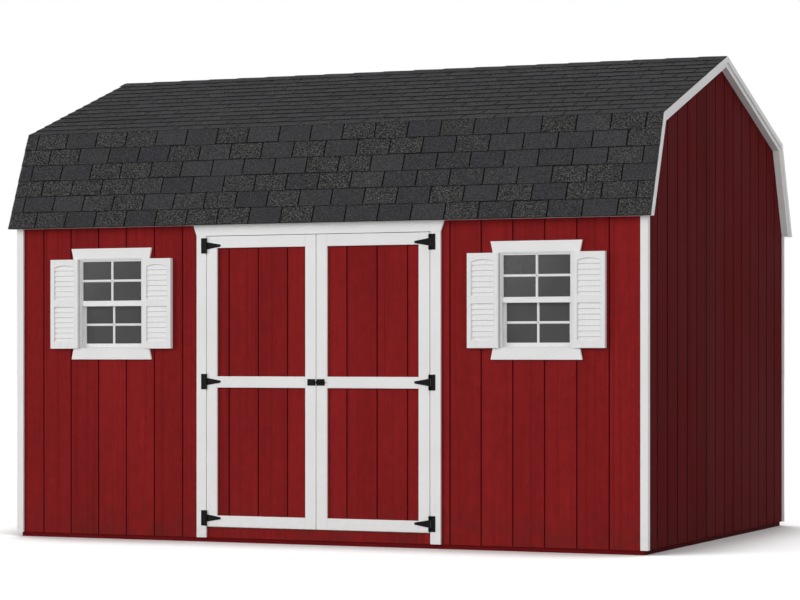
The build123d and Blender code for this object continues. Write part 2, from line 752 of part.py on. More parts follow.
# Bolt plate and its two guides on the right leaf
latch_face = trim_face - latch_metal
bolt_axis_y = latch_face - keeper_slot / 2
plate_start = leaf_inner + 1.0
guide_height = bolt_radius + bolt_clearance + guide_wall
near_guide = plate_start + guide_width / 2
far_guide = plate_start + knob_length + bolt_travel + 1.5 * guide_width + 2.0
guide_front = bolt_axis_y - guide_height
guide_y = (latch_face + guide_front) / 2
with BuildPart() as latch_guides:
    with BuildSketch(front_plane(trim_face)):
        with Locations((plate_start + latch_plate_length / 2, mid_rail_height)):
            Rectangle(latch_plate_length, latch_plate_height)
    extrude(amount=latch_metal)
    with Locations([(x, guide_y, mid_rail_height) for x in (near_guide, far_guide)]):
        Box(guide_width, latch_face - guide_front, 2 * guide_height)
    with Locations(Location((plate_start, bolt_axis_y, mid_rail_height), (0, 90, 0))):
        Cylinder(
            bolt_radius + bolt_clearance,
            latch_plate_length,
            align=(Align.CENTER, Align.CENTER, Align.MIN),
            mode=Mode.SUBTRACT,
        )
latch_guides.part.label = "latch_guides"
export_step(latch_guides.part, "parts/latch_guides.step")

# The bolt, drawn back, with its knob between the guides
bolt_tip = leaf_inner + bolt_setback
knob_x = far_guide - guide_width / 2 - 1.0 - knob_length / 2
with BuildPart() as latch_bolt:
    with Locations(Location((bolt_tip, bolt_axis_y, mid_rail_height), (0, 90, 0))):
        Cylinder(bolt_radius, bolt_length, align=(Align.CENTER, Align.CENTER, Align.MIN))
    with Locations(Location((knob_x, bolt_axis_y, mid_rail_height), (90, 0, 0))):
        Cylinder(knob_radius, bolt_radius + knob_reach, align=(Align.CENTER, Align.CENTER, Align.MIN))
latch_bolt.part.label = "latch_bolt"
export_step(latch_bolt.part, "parts/latch_bolt.step")

# Keeper on the left leaf, a plate with a bridge that the bolt slides under
bridge_front = latch_face - keeper_slot - guide_wall
bridge_x = -plate_start - keeper_setback - keeper_width / 2
with BuildPart() as latch_keeper:
    with BuildSketch(front_plane(trim_face)):
        with Locations((-plate_start - latch_plate_length / 2, mid_rail_height)):
            Rectangle(latch_plate_length, latch_plate_height)
    extrude(amount=latch_metal)
    with Locations((bridge_x, (latch_face + bridge_front) / 2, mid_rail_height)):
        Box(keeper_width, latch_face - bridge_front, keeper_slot + 2 * guide_wall)
    with Locations((bridge_x, latch_face - keeper_slot / 2, mid_rail_height)):
        Box(keeper_width, keeper_slot, keeper_slot, mode=Mode.SUBTRACT)
latch_keeper.part.label = "latch_keeper"
export_step(latch_keeper.part, "parts/latch_keeper.step")
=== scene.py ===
import json
import math
import bmesh
import bpy
import numpy as np
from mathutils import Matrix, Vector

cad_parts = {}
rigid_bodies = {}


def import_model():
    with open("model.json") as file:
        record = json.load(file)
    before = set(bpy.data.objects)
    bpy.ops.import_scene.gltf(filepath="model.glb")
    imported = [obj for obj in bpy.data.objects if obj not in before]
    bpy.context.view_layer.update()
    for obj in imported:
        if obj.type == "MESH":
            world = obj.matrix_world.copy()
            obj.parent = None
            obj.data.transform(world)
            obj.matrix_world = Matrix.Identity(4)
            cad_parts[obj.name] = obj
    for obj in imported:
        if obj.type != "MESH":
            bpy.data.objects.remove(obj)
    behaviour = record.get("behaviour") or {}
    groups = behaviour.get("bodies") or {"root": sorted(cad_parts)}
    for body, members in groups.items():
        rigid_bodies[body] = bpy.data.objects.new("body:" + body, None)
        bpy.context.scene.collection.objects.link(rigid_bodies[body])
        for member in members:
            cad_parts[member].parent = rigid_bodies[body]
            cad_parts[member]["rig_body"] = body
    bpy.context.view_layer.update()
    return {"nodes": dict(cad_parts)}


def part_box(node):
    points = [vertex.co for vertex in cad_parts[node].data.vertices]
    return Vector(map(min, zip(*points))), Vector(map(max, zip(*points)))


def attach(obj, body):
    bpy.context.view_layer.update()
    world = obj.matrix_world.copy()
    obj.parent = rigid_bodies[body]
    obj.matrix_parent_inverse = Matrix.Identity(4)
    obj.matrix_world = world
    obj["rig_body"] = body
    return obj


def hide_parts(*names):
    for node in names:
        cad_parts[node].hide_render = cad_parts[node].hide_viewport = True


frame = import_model()
nodes = frame["nodes"]
print("frame loaded,", len(nodes), "nodes")


# Camera, on the photo's frame of 800 by 600
cameraLook = {
    "place": (7.0032, -16.6869, 1.1779),
    "turn": 23.877,
    "lens": 121.09,
    "sensor": 36,
    "shift": (0.05, 0.0693),
    "farthest": 500,
}
cameraData = bpy.data.cameras.new("photo_camera")
cameraData.sensor_width = cameraLook["sensor"]
cameraData.lens = cameraLook["lens"]
cameraData.shift_x, cameraData.shift_y = cameraLook["shift"]
cameraData.clip_end = cameraLook["farthest"]
camera = bpy.data.objects.new("photo_camera", cameraData)
camera.location = cameraLook["place"]
camera.rotation_euler = (math.radians(90), 0, math.radians(cameraLook["turn"]))
bpy.context.scene.collection.objects.link(camera)
bpy.context.scene.camera = camera
bpy.context.scene.view_settings.view_transform = "Standard"
print("camera set")


# Node helpers

def addNode(tree, kind, inputs=None, **settings):
    made = tree.nodes.new("ShaderNode" + kind)
    for key, value in settings.items():
        setattr(made, key, value)
    for key, value in (inputs or {}).items():
        made.inputs[key].default_value = value
    return made


def startMaterial(name, color, roughness, specular):
    material = bpy.data.materials.new(name)
    material.use_nodes = True
    shader = material.node_tree.nodes["Principled BSDF"]
    shader.inputs["Base Color"].default_value = (*color, 1)
    shader.inputs["Roughness"].default_value = roughness
    shader.inputs["Specular IOR Level"].default_value = specular
    return material, material.node_tree, shader


def math2(tree, operation, a, b=0.5, clamp=False):
    made = addNode(tree, "Math", operation=operation, use_clamp=clamp)
    for socket, value in zip(made.inputs, (a, b)):
        if hasattr(value, "links"):
            tree.links.new(value, socket)
        else:
            socket.default_value = value
    return made.outputs[0]


def times(tree, a, b):
    return math2(tree, "MULTIPLY", a, b)


def plus(tree, a, b):
    return math2(tree, "ADD", a, b)


def objectPoint(tree, scale=(1, 1, 1)):
    point = addNode(tree, "TexCoord")
    mapping = addNode(tree, "Mapping", {"Scale": scale})
    tree.links.new(point.outputs["Object"], mapping.inputs["Vector"])
    return mapping.outputs[0]


def axesOf(tree, vector):
    split = addNode(tree, "SeparateXYZ")
    tree.links.new(vector, split.inputs[0])
    return split.outputs


def joinAxes(tree, *values):
    joined = addNode(tree, "CombineXYZ")
    for value, socket in zip(values, joined.inputs):
        tree.links.new(value, socket)
    return joined.outputs[0]


def noiseAt(tree, vector, scale, detail=4.0, roughness=0.55, distortion=0.0):
    noise = addNode(
        tree, "TexNoise",
        {"Scale": scale, "Detail": detail, "Roughness": roughness, "Distortion": distortion},
    )
    tree.links.new(vector, noise.inputs["Vector"])
    return noise.outputs["Fac"]


def spread(tree, value, lowIn, highIn, lowOut=0.0, highOut=1.0):
    made = addNode(
        tree, "MapRange",
        {"From Min": lowIn, "From Max": highIn, "To Min": lowOut, "To Max": highOut},
    )
    tree.links.new(value, made.inputs["Value"])
    return made.outputs[0]


def mixColors(tree, factor, a, b, how="MIX"):
    made = addNode(tree, "Mix", data_type="RGBA", blend_type=how)
    for index, value in ((0, factor), (6, a), (7, b)):
        if hasattr(value, "links"):
            tree.links.new(value, made.inputs[index])
        elif index == 0:
            made.inputs[index].default_value = value
        else:
            made.inputs[index].default_value = (*value, 1)
    return made.outputs[2]


def addBump(tree, shader, height, strength, distance):
    bump = addNode(tree, "Bump", {"Strength": strength, "Distance": distance})
    tree.links.new(height, bump.inputs["Height"])
    tree.links.new(bump.outputs[0], shader.inputs["Normal"])


# Barn red paint over vertical wood grain, each board between two grooves with its own tone, and painted shade in
# the grooves. A scale multiplies the place in metres before the noise is read
redPaint = {
    "light": (0.252, 0.0155, 0.0162),
    "dark": (0.178, 0.011, 0.0118),
    # the groove colour is painted shade in the grooves
    "groove": (0.012, 0.001, 0.001),
    "splash": (0.075, 0.02, 0.015),
    "plainRoughness": 0.58,
    "roughness": (0.68, 0.82),
    "specular": 0.02,
    "boardPitch": 0.2032,
    "boardTone": 0.06,
    "boardShift": 7.3,
    "cloudTone": (0.93, 1.07),
    "lineTone": 0.35,
    "splashRise": (0.02, 0.3),
    # how much darker the side walls' red is, as painted shade
    "paintedSideShade": (0.46, 0.55, 0.62),
    "streakScale": (46.0, 1.6),
    "fibreScale": (260, 260, 6),
    "cloudScale": (2.4, 2.4, 0.9),
    "mottleScale": (24, 24, 17),
    "lineScale": (52, 52, 0.25),
}


def barnRed(name, axis, start, tone=(1, 1, 1), streakShare=0.6, lineShare=0.2, paintedGrooveShade=0.4):
    material, tree, shader = startMaterial(
        name, redPaint["light"], redPaint["plainRoughness"], redPaint["specular"],
    )
    x, y, z = axesOf(tree, objectPoint(tree))
    fromStart = math2(tree, "SUBTRACT", x if axis == "x" else y, start)
    board = math2(tree, "FLOOR", math2(tree, "DIVIDE", fromStart, redPaint["boardPitch"]))
    boardNoise = addNode(tree, "TexWhiteNoise", noise_dimensions="1D")
    tree.links.new(board, boardNoise.inputs["W"])
    acrossScale, upScale = redPaint["streakScale"]
    up = plus(tree, times(tree, z, upScale), times(tree, board, redPaint["boardShift"]))
    place = joinAxes(tree, times(tree, x, acrossScale), times(tree, y, acrossScale), up)
    streak = noiseAt(tree, place, 1.0, 5.0, 0.62, 0.3)
    fibre = noiseAt(tree, objectPoint(tree, redPaint["fibreScale"]), 1.0, 3.0, 0.6)
    cloud = noiseAt(tree, objectPoint(tree, redPaint["cloudScale"]), 1.0, 3.0)
    mottle = noiseAt(tree, objectPoint(tree, redPaint["mottleScale"]), 1.0, 4.0, 0.62, 0.4)
    thinLine = noiseAt(tree, objectPoint(tree, redPaint["lineScale"]), 1.0, 2.0)
    streaks = times(tree, plus(tree, streak, fibre), streakShare / 2)
    grain = plus(tree, streaks, times(tree, mottle, 1 - streakShare))
    light, dark = (tuple(a * b for a, b in zip(tone, redPaint[key])) for key in ("light", "dark"))
    lineColor = tuple(redPaint["lineTone"] * part for part in dark)
    base = mixColors(tree, spread(tree, grain, 0.34, 0.66), dark, light)
    base = mixColors(tree, spread(tree, thinLine, 0.56, 0.64, 0.0, lineShare), base, lineColor)
    swing = redPaint["boardTone"]
    boardShade = spread(tree, boardNoise.outputs[0], 0, 1, 1 - swing, 1 + swing)
    shade = times(tree, boardShade, spread(tree, cloud, 0.3, 0.7, *redPaint["cloudTone"]))
    gray = addNode(tree, "CombineColor")
    for socket in gray.inputs[:3]:
        tree.links.new(shade, socket)
    toned = mixColors(tree, 1.0, base, gray.outputs[0], "MULTIPLY")
    # Painted shade: the groove attribute darkens the grooves and a width beside them
    groove = addNode(tree, "Attribute", attribute_name="groove")
    toned = mixColors(tree, times(tree, groove.outputs["Fac"], paintedGrooveShade), toned, redPaint["groove"])
    specks = spread(tree, noiseAt(tree, objectPoint(tree), 9.0, 5.0), 0.4, 0.7)
    splash = times(tree, spread(tree, z, *redPaint["splashRise"], 0.5, 0.0), specks)
    tree.links.new(mixColors(tree, splash, toned, redPaint["splash"]), shader.inputs["Base Color"])
    tree.links.new(spread(tree, cloud, 0.3, 0.7, *redPaint["roughness"]), shader.inputs["Roughness"])
    addBump(tree, shader, grain, 0.35, 0.0012)
    return material


# White paint on planed boards: faint fibre, brush marks and a little dust near the ground
whitePaint = {
    "light": (0.81, 0.808, 0.806), "dull": (0.765, 0.763, 0.76), "dust": (0.46, 0.42, 0.37),
    "dustRise": (0.02, 0.2), "roughness": 0.5, "specular": 0.25,
}


def paintedWhite(name, grainScale):
    material, tree, shader = startMaterial(
        name, whitePaint["light"], whitePaint["roughness"], whitePaint["specular"],
    )
    fibre = noiseAt(tree, objectPoint(tree, grainScale), 1.0, 4.0, 0.6)
    cloud = noiseAt(tree, objectPoint(tree), 3.0, 4.0)
    z = axesOf(tree, objectPoint(tree))[2]
    base = mixColors(tree, spread(tree, cloud, 0.35, 0.75), whitePaint["light"], whitePaint["dull"])
    specks = spread(tree, noiseAt(tree, objectPoint(tree), 30.0, 5.0), 0.35, 0.75)
    dust = times(tree, spread(tree, z, *whitePaint["dustRise"], 0.3, 0.0), specks)
    tree.links.new(mixColors(tree, dust, base, whitePaint["dust"]), shader.inputs["Base Color"])
    tree.links.new(spread(tree, fibre, 0.2, 0.8, 0.42, 0.6), shader.inputs["Roughness"])
    addBump(tree, shader, fibre, 0.18, 0.0008)
    return material


# Sawn softwood with growth rings drawn out along one axis
softwood = {
    "light": (0.66, 0.47, 0.27), "ring": (0.5, 0.31, 0.15), "patch": (0.58, 0.36, 0.17),
    "ringShare": 0.55, "roughness": 0.72, "specular": 0.25, "along": 1.5, "across": 30.0,
}

# Red paint on the floor frame's faces that lie level with the walls' frame, outside these x and y. The faces on
# the sides take a darker red, which is painted shade
framePaint = {
    "front": (0.15, 0.008, 0.009), "side": (0.055, 0.0035, 0.004), "ring": (0.03, 0.002, 0.002),
    "specular": 0.02, "outside": (2.1221, 1.5125),
}


def woodGrain(tree, vector):
    ring = addNode(
        tree, "TexWave", {"Scale": 1.3, "Distortion": 5.0, "Detail": 3.0, "Detail Scale": 1.2},
        wave_type="BANDS", bands_direction="DIAGONAL",
    )
    tree.links.new(vector, ring.inputs["Vector"])
    fibre = noiseAt(tree, vector, 5.0, 4.0, 0.65)
    share = softwood["ringShare"]
    return plus(tree, times(tree, ring.outputs["Fac"], share), times(tree, fibre, 1 - share))


def finishTimber(tree, shader, color, grain):
    tree.links.new(color, shader.inputs["Base Color"])
    tree.links.new(spread(tree, grain, 0.2, 0.8, 0.62, 0.82), shader.inputs["Roughness"])
    addBump(tree, shader, grain, 0.3, 0.001)


def sawnTimber(name, grainScale, painted=False):
    specular = framePaint["specular"] if painted else softwood["specular"]
    material, tree, shader = startMaterial(name, softwood["light"], softwood["roughness"], specular)
    grain = woodGrain(tree, objectPoint(tree, grainScale))
    cloud = noiseAt(tree, objectPoint(tree), 2.3, 3.0)
    wood = mixColors(tree, spread(tree, grain, 0.25, 0.8), softwood["light"], softwood["ring"])
    wood = mixColors(tree, spread(tree, cloud, 0.35, 0.75, 0.0, 0.35), wood, softwood["patch"])
    if painted:
        x, y = axesOf(tree, objectPoint(tree))[:2]
        outX, outY = (
            math2(tree, "GREATER_THAN", math2(tree, "ABSOLUTE", place), limit)
            for place, limit in zip((x, y), framePaint["outside"])
        )
        # Painted shade: the side faces take the darker red
        red = mixColors(tree, outX, framePaint["front"], framePaint["side"])
        red = mixColors(tree, spread(tree, grain, 0.2, 0.8, 0.0, 0.3), red, framePaint["ring"])
        wood = mixColors(tree, math2(tree, "MAXIMUM", outX, outY), wood, red)
    finishTimber(tree, shader, wood, grain)
    return material


# The same softwood with its grain along a slope that falls from the ridge on both sides
def slopedTimber(name, pitch):
    material, tree, shader = startMaterial(name, softwood["light"], softwood["roughness"], softwood["specular"])
    x, y, z = axesOf(tree, objectPoint(tree))
    half = math2(tree, "ABSOLUTE", y)
    sine, cosine = math.sin(pitch), math.cos(pitch)
    alongSlope = math2(tree, "SUBTRACT", times(tree, z, sine), times(tree, half, cosine))
    acrossSlope = plus(tree, times(tree, z, cosine), times(tree, half, sine))
    along, across = softwood["along"], softwood["across"]
    place = joinAxes(
        tree, times(tree, x, across), times(tree, alongSlope, along), times(tree, acrossSlope, across),
    )
    grain = woodGrain(tree, place)
    wood = mixColors(tree, spread(tree, grain, 0.25, 0.8), softwood["light"], softwood["ring"])
    finishTimber(tree, shader, wood, grain)
    return material


# Plywood with broad rotary-cut figure
plySheet = {"light": (0.62, 0.45, 0.27), "figure": (0.5, 0.33, 0.18), "roughness": 0.7, "specular": 0.25}


def plywood(name, grainScale):
    material, tree, shader = startMaterial(name, plySheet["light"], plySheet["roughness"], plySheet["specular"])
    vector = objectPoint(tree, grainScale)
    figure = noiseAt(tree, vector, 1.0, 2.0, 0.5, 2.5)
    rings = math2(tree, "PINGPONG", times(tree, figure, 9.0), 1.0)
    fibre = noiseAt(tree, vector, 22.0, 3.0)
    grain = plus(tree, times(tree, rings, 0.6), times(tree, fibre, 0.4))
    tree.links.new(
        mixColors(tree, spread(tree, grain, 0.15, 0.85), plySheet["light"], plySheet["figure"]),
        shader.inputs["Base Color"],
    )
    tree.links.new(spread(tree, fibre, 0.3, 0.7, 0.6, 0.8), shader.inputs["Roughness"])
    addBump(tree, shader, grain, 0.2, 0.0008)
    return material


# Mineral granules: each tab has its own tone, and light and dark grains lie over it. A dark band at the butts is
# partly their own darker edge and partly painted shade, and the slots are in painted shade
granules = {
    "dark": (0.0325, 0.033, 0.0355),
    "light": (0.0465, 0.047, 0.05),
    "blue": (0.035, 0.0348, 0.042),
    "olive": (0.036, 0.0365, 0.034),
    "pale": (0.125, 0.125, 0.123),
    "black": (0.008, 0.008, 0.009),
    "line": (0.006, 0.006, 0.006),
    "lineShare": 0.92,
    "grainScale": 300.0,
    "patchScale": (100, 135, 135),
    "roughness": 0.9,
    "specular": 0.04,
}


def shingleGrain(name):
    material, tree, shader = startMaterial(name, granules["dark"], granules["roughness"], granules["specular"])
    attribute = addNode(tree, "Attribute", attribute_name="tabToneAndShade")
    tone, hue, line = axesOf(tree, attribute.outputs["Vector"])
    base = mixColors(tree, tone, granules["dark"], granules["light"])
    base = mixColors(tree, spread(tree, hue, 0.8, 0.95, 0.0, 0.7), base, granules["blue"])
    base = mixColors(tree, spread(tree, hue, 0.5, 0.3, 0.0, 0.8), base, granules["olive"])
    grains = noiseAt(tree, objectPoint(tree), granules["grainScale"], 2.0, 0.7)
    patches = noiseAt(tree, objectPoint(tree, granules["patchScale"]), 1.0, 3.0, 0.65)
    coarse = spread(tree, hue, 0.6, 0.35, 0.38, 1.0)
    blackSpots = times(tree, spread(tree, patches, 0.48, 0.4, 0.0, 0.95), coarse)
    paleSpots = times(tree, spread(tree, patches, 0.53, 0.61, 0.0, 0.85), coarse)
    base = mixColors(tree, blackSpots, base, granules["black"])
    base = mixColors(tree, paleSpots, base, granules["pale"])
    base = mixColors(tree, spread(tree, grains, 0.56, 0.72, 0.0, 0.5), base, granules["pale"])
    # The dark band at the butts, partly their darker edge and partly painted shade, and painted shade in the
    # slots
    base = mixColors(tree, times(tree, line, granules["lineShare"]), base, granules["line"])
    tree.links.new(base, shader.inputs["Base Color"])
    tree.links.new(spread(tree, grains, 0.3, 0.7, 0.8, 0.95), shader.inputs["Roughness"])
    addBump(tree, shader, plus(tree, grains, patches), 0.5, 0.0015)
    return material


# White window frames and moulded shutters
mouldedWhite = {"frame": (0.8, 0.8, 0.8), "shutter": (0.79, 0.785, 0.785), "dull": 0.93, "specular": 0.35}


def mouldedPlastic(name, color, roughness, grainScale, depth):
    material, tree, shader = startMaterial(name, color, roughness, mouldedWhite["specular"])
    grain = noiseAt(tree, objectPoint(tree, grainScale), 1.0, 4.0, 0.6)
    dull = tuple(mouldedWhite["dull"] * part for part in color)
    tree.links.new(mixColors(tree, spread(tree, grain, 0.4, 0.75), color, dull), shader.inputs["Base Color"])
    tree.links.new(spread(tree, grain, 0.3, 0.7, roughness - 0.06, roughness + 0.08), shader.inputs["Roughness"])
    addBump(tree, shader, grain, 0.15, depth)
    return material


# Clear glass with a little dust. Where it is not clear it shows its matt grey tint, partly dust and partly
# painted reflection. It is lighter towards the upper left corner of each window, a painted reflection. The centre
# is the x and z of a window's middle, and the reach is how far from it, to the left and up, the painted
# reflection is full
pane = {
    "tint": (0.135, 0.136, 0.138), "paintedReflection": (0.21, 0.21, 0.212), "dust": (0.12, 0.12, 0.12), "roughness": 0.03,
    "specular": 0.5, "clear": 0.6, "dusty": 0.48, "ior": 1.32, "centre": (1.494, 1.515), "reach": (0.2, 0.26),
    "sideShare": 0.45,
}


def windowPane(name):
    material, tree, shader = startMaterial(name, pane["tint"], pane["roughness"], pane["specular"])
    shader.inputs["IOR"].default_value = pane["ior"]
    dust = noiseAt(tree, objectPoint(tree), 7.0, 5.0, 0.6)
    x, _, z = axesOf(tree, objectPoint(tree))
    middle = times(tree, math2(tree, "SIGN", x), pane["centre"][0])
    left = math2(tree, "DIVIDE", math2(tree, "SUBTRACT", middle, x), pane["reach"][0])
    above = math2(tree, "DIVIDE", math2(tree, "SUBTRACT", z, pane["centre"][1]), pane["reach"][1])
    share = pane["sideShare"]
    # Painted reflection, lighter to the left of and above each window's middle
    lift = math2(tree, "ADD", times(tree, left, share), times(tree, above, 1 - share), clamp=True)
    base = mixColors(tree, lift, pane["tint"], pane["paintedReflection"])
    base = mixColors(tree, spread(tree, dust, 0.4, 0.8, 0.0, 0.35), base, pane["dust"])
    # Where the glass is not clear it shows the matt grey tint, partly dust and partly painted reflection
    clear = spread(tree, dust, 0.4, 0.8, pane["clear"], pane["dusty"])
    tree.links.new(base, shader.inputs["Base Color"])
    tree.links.new(clear, shader.inputs["Transmission Weight"])
    tree.links.new(spread(tree, dust, 0.35, 0.8, 0.02, 0.12), shader.inputs["Roughness"])
    return material


# Black coated iron, a little rubbed
ironCoat = {
    "coat": (0.0025, 0.0025, 0.0028), "rubbed": (0.009, 0.0088, 0.0086), "roughness": 0.45, "specular": 0.08,
}


def blackIron(name):
    material, tree, shader = startMaterial(name, ironCoat["coat"], ironCoat["roughness"], ironCoat["specular"])
    rub = noiseAt(tree, objectPoint(tree), 60.0, 5.0, 0.65)
    skin = noiseAt(tree, objectPoint(tree), 420.0, 2.0)
    tree.links.new(
        mixColors(tree, spread(tree, rub, 0.52, 0.72), ironCoat["coat"], ironCoat["rubbed"]),
        shader.inputs["Base Color"],
    )
    tree.links.new(spread(tree, rub, 0.3, 0.7, 0.36, 0.58), shader.inputs["Roughness"])
    addBump(tree, shader, skin, 0.25, 0.0005)
    return material


# Heights and half spans of the roof's outer surface, in metres
roofForm = {
    "eaveHalf": 1.594, "eaveHeight": 2.009, "kneeHalf": 1.340, "kneeHeight": 2.631, "ridgeHeight": 3.098,
    "halfLength": 2.1826, "deckBase": 0.019, "layer": 0.008, "drip": 0.007,
}
lowerPitch = math.atan2(
    roofForm["kneeHeight"] - roofForm["eaveHeight"], roofForm["eaveHalf"] - roofForm["kneeHalf"],
)
upperPitch = math.atan2(roofForm["ridgeHeight"] - roofForm["kneeHeight"], roofForm["kneeHalf"])

# Where the boards start on each wall, how many grooves follow, and how far the back's are shifted
grooveStart = {"front": -1.9558, "side": -1.3114, "leaf": -0.6098}
grooveCount = {"front": 20, "side": 14}
backShift = 0.0508

redFront = barnRed("barn_red_front", "x", grooveStart["front"])
redLeaf = barnRed("barn_red_leaf", "x", grooveStart["leaf"])
# The side walls take a darker copy of the red: painted shade
redSide = barnRed(
    "barn_red_side_painted_shade", "y", grooveStart["side"], redPaint["paintedSideShade"],
    streakShare=0.9, lineShare=0.6, paintedGrooveShade=1.0,
)
whiteUpright = paintedWhite("white_upright", (90, 90, 7))
whiteLevel = paintedWhite("white_level", (7, 90, 90))
whiteSlope = paintedWhite("white_slope", (90, 30, 30))
grainAlongX, grainAlongY, grainUpright = (
    tuple(softwood["along" if axis == along else "across"] for axis in range(3)) for along in range(3)
)
timberAlongX = sawnTimber("timber_long", grainAlongX)
timberAlongY = sawnTimber("timber_deep", grainAlongY)
timberUpright = sawnTimber("timber_upright", grainUpright)
floorFrameX = sawnTimber("floor_frame_long", grainAlongX, painted=True)
floorFrameY = sawnTimber("floor_frame_deep", grainAlongY, painted=True)
timberSteep = slopedTimber("timber_steep", lowerPitch)
timberShallow = slopedTimber("timber_shallow", upperPitch)
plyFloor = plywood("plywood_floor", (1.2, 7, 7))
plyRoof = plywood("plywood_roof", (1.2, 6, 6))
plyGusset = plywood("plywood_gusset", (8, 3, 8))
backOfSiding = plywood("siding_back", (8, 8, 1.3))
shingleTabs = shingleGrain("shingle_granules")
frameWhite = mouldedPlastic("window_white", mouldedWhite["frame"], 0.38, (70, 70, 70), 0.0003)
shutterWhite = mouldedPlastic("shutter_white", mouldedWhite["shutter"], 0.5, (120, 120, 9), 0.0006)
glass = windowPane("window_pane")
iron = blackIron("black_iron")
print("materials made")


# Finishes of the nodes that keep their own mesh
keptNodes = {
    "rim_joists": floorFrameX,
    "floor_joists": floorFrameY,
    "floor_deck": plyFloor,
    "long_plates": timberAlongX,
    "side_plates": timberAlongY,
    "long_wall_studs": timberUpright,
    "side_wall_studs": timberUpright,
    "wall_headers": timberAlongX,
    "lower_rafters": timberSteep,
    "upper_rafters": timberShallow,
    "gussets": plyGusset,
    "roof_deck": plyRoof,
    "window_glass": glass,
}
for name, material in keptNodes.items():
    nodes[name].data.materials.clear()
    nodes[name].data.materials.append(material)


# Puts finished arrays of points and faces into a piece that rides on a body
def addPiece(name, points, faces, materials, body, faceMaterial=None, replaced=()):
    mesh = bpy.data.meshes.new(name)
    mesh.from_pydata(points.tolist(), [], [list(face) for face in faces])
    for material in materials:
        mesh.materials.append(material)
    if faceMaterial is not None:
        mesh.polygons.foreach_set("material_index", np.asarray(faceMaterial, dtype=np.int32))
    mesh.update()
    piece = bpy.data.objects.new(name, mesh)
    bpy.context.scene.collection.objects.link(piece)
    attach(piece, body)
    if replaced:
        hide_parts(*replaced)
    return piece


# Copies a node with its corners eased: doubles merged, flat faces joined, then a small bevel. A gap that the copy
# shows narrower than the CAD's comes from moves of axis, level and shift, for the points that lie at that level.
# Lengths are in metres and angles in degrees
easing = {"merge": 1e-5, "level": 2e-4, "flatAngle": 1, "sharpAngle": 32, "bevelAngle": 40, "segments": 2}


def easedCopy(node, material, radius, moves=()):
    source = nodes[node]
    mesh = source.data.copy()
    mesh.name = node + "_eased"
    form = bmesh.new()
    form.from_mesh(mesh)
    bmesh.ops.remove_doubles(form, verts=form.verts, dist=easing["merge"])
    flatAngle = math.radians(easing["flatAngle"])
    bmesh.ops.dissolve_limit(form, angle_limit=flatAngle, verts=form.verts, edges=form.edges)
    for axis, level, shift in moves:
        for point in [corner for corner in form.verts if abs(corner.co[axis] - level) < easing["level"]]:
            point.co[axis] += shift
    form.to_mesh(mesh)
    form.free()
    if "custom_normal" in mesh.attributes:
        mesh.attributes.remove(mesh.attributes["custom_normal"])
    mesh.materials.clear()
    mesh.materials.append(material)
    mesh.polygons.foreach_set("use_smooth", np.ones(len(mesh.polygons), dtype=bool))
    mesh.set_sharp_from_angle(angle=math.radians(easing["sharpAngle"]))
    piece = bpy.data.objects.new(node + "_eased", mesh)
    bpy.context.scene.collection.objects.link(piece)
    bevel = piece.modifiers.new("eased_edges", "BEVEL")
    bevel.width = radius
    bevel.segments = easing["segments"]
    bevel.limit_method = "ANGLE"
    bevel.angle_limit = math.radians(easing["bevelAngle"])
    bevel.harden_normals = True
    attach(piece, source["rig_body"])
    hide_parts(node)
    return piece


# The gaps round the leaves look narrower than the clearance that they swing with, so their frames reach out a
# little, by these metres at each edge
doorGaps = {"top": 0.003, "side": 0.0022, "middle": 0.0018}

# Trim, windows, shutters and ironwork with eased corners
easedNodes = [
    ("corner_boards", whiteUpright, "white_trim", 0.002),
    ("corner_returns", whiteUpright, "white_trim", 0.002),
    ("door_side_trim", whiteUpright, "white_trim", 0.002),
    ("door_head_trim", whiteLevel, "white_trim", 0.002),
    ("window_trim", whiteLevel, "white_trim", 0.002),
    ("fly_rafters", whiteSlope, "white_trim", 0.002),
    ("rake_trim", whiteSlope, "white_trim", 0.002),
    ("eave_soffits", whiteLevel, "white_trim", 0.0015),
    ("door_left_stiles", whiteUpright, "white_trim", 0.002),
    ("door_right_stiles", whiteUpright, "white_trim", 0.002),
    ("door_left_rails", whiteLevel, "white_trim", 0.002),
    ("door_right_rails", whiteLevel, "white_trim", 0.002),
    ("window_frames", frameWhite, "white_window", 0.002),
    ("window_sashes", frameWhite, "white_window", 0.002),
    ("shutters", shutterWhite, "white_shutter", 0.0012),
    ("hinge_plates", iron, "black_iron", 0.0007),
    ("door_left_straps", iron, "black_iron", 0.0007),
    ("door_right_straps", iron, "black_iron", 0.0007),
    ("latch_guides", iron, "black_iron", 0.0007),
    ("latch_bolt", iron, "black_iron", 0.0007),
    ("latch_keeper", iron, "black_iron", 0.0007),
]
gapMoves = {}
for leaf, side in (("door_left", -1), ("door_right", 1)):
    low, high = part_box(leaf + "_stiles")
    hingeEdge, meetingEdge = (low.x, high.x) if side < 0 else (high.x, low.x)
    topMove = (2, high.z, doorGaps["top"])
    gapMoves[leaf + "_rails"] = (topMove,)
    gapMoves[leaf + "_stiles"] = (
        topMove, (0, hingeEdge, side * doorGaps["side"]), (0, meetingEdge, -side * doorGaps["middle"]),
    )
for node, material, slotName, radius in easedNodes:
    easedCopy(node, material, radius, gapMoves.get(node, ()))
print("trim, windows and ironwork eased")


# Grooved siding, as sheets with milled upright grooves
# fade and sideFade are the widths beside a groove over which its painted shade fades out
siding = {
    "grooveTop": 0.0088, "grooveFloor": 0.0064, "grooveDepth": 0.0064, "thickness": 0.011,
    "pitch": redPaint["boardPitch"], "endMargin": 0.01, "fade": 0.0005, "sideFade": 0.006,
}
